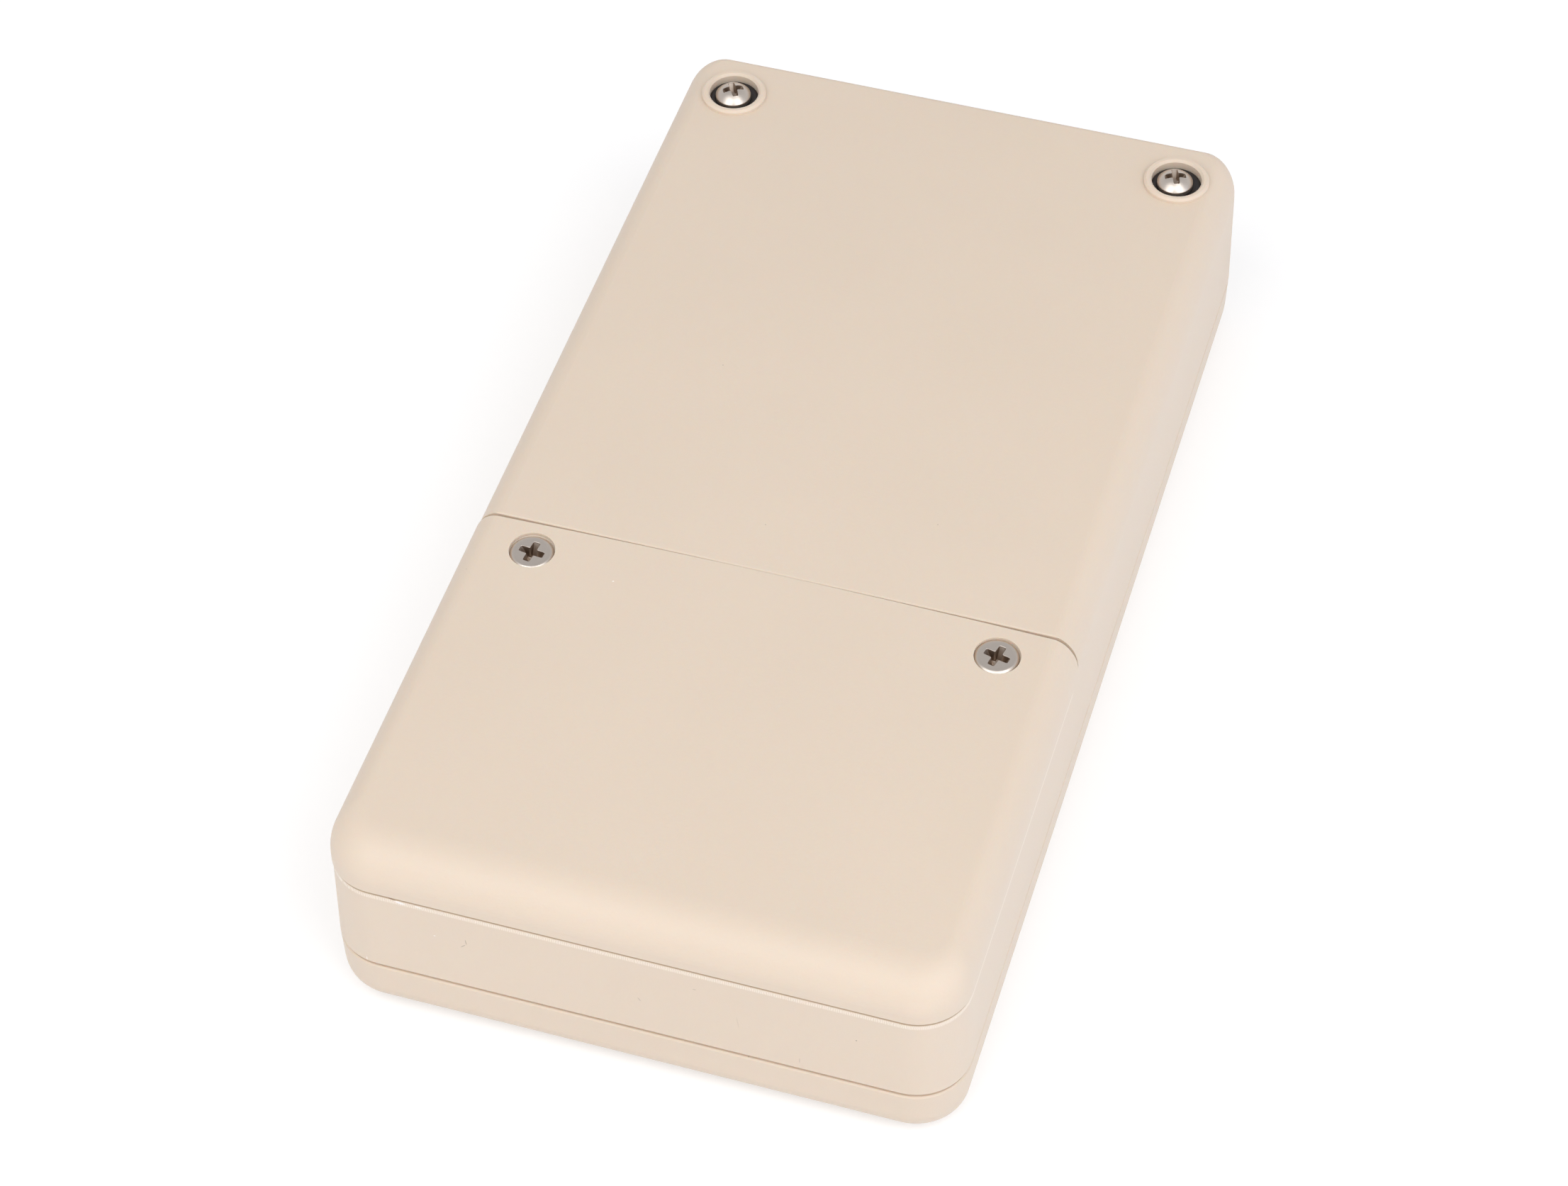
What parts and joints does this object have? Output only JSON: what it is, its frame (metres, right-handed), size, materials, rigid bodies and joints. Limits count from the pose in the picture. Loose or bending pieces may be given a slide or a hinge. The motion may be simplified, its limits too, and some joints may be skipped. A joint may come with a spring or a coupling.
{
  "type": "handheld enclosure",
  "caption": "Moulded handheld instrument enclosure in two screwed halves with a screwed battery door, a bay for cells and room for a circuit board.",
  "frame": {"origin": "centre of the front face, which the case lies on", "axes": "+Z out of the rear face, +Y towards the end away from the battery door, +X to the right seen from the battery end with the rear face up"},
  "size_m": [0.08, 0.151, 0.0313],
  "materials": {
    "abs_shell": "fine spark-eroded texture, warm off-white",
    "steel_screw": "nickel-plated, polished by tumbling",
    "rubber_seal": "glossy black",
    "brass_insert": "turned, plain",
    "nickel_contact": "nickel-plated spring strip"
  },
  "bodies": {
    "case": {"front_shell": "abs_shell", "rear_shell": "abs_shell", "case_gasket": "rubber_seal", "far_left_case_screw": "steel_screw", "far_right_case_screw": "steel_screw", "near_left_case_screw": "steel_screw", "near_right_case_screw": "steel_screw", "far_left_seal_washer": "rubber_seal", "far_right_seal_washer": "rubber_seal", "near_left_seal_washer": "rubber_seal", "near_right_seal_washer": "rubber_seal", "far_left_case_insert": "brass_insert", "far_right_case_insert": "brass_insert", "near_left_case_insert": "brass_insert", "near_right_case_insert": "brass_insert", "left_door_insert": "brass_insert", "right_door_insert": "brass_insert", "left_bridge_contact": "nickel_contact", "positive_contact": "nickel_contact", "negative_contact": "nickel_contact", "right_bridge_contact": "nickel_contact"},
    "door": {"battery_door": "abs_shell", "left_door_screw": "steel_screw", "right_door_screw": "steel_screw"}
  },
  "joints": [
    {"name": "door_lift", "type": "slide", "parent": "case", "child": "door", "axis": [0, 0, 1], "range_m": [0, 0.03]}
  ]
}
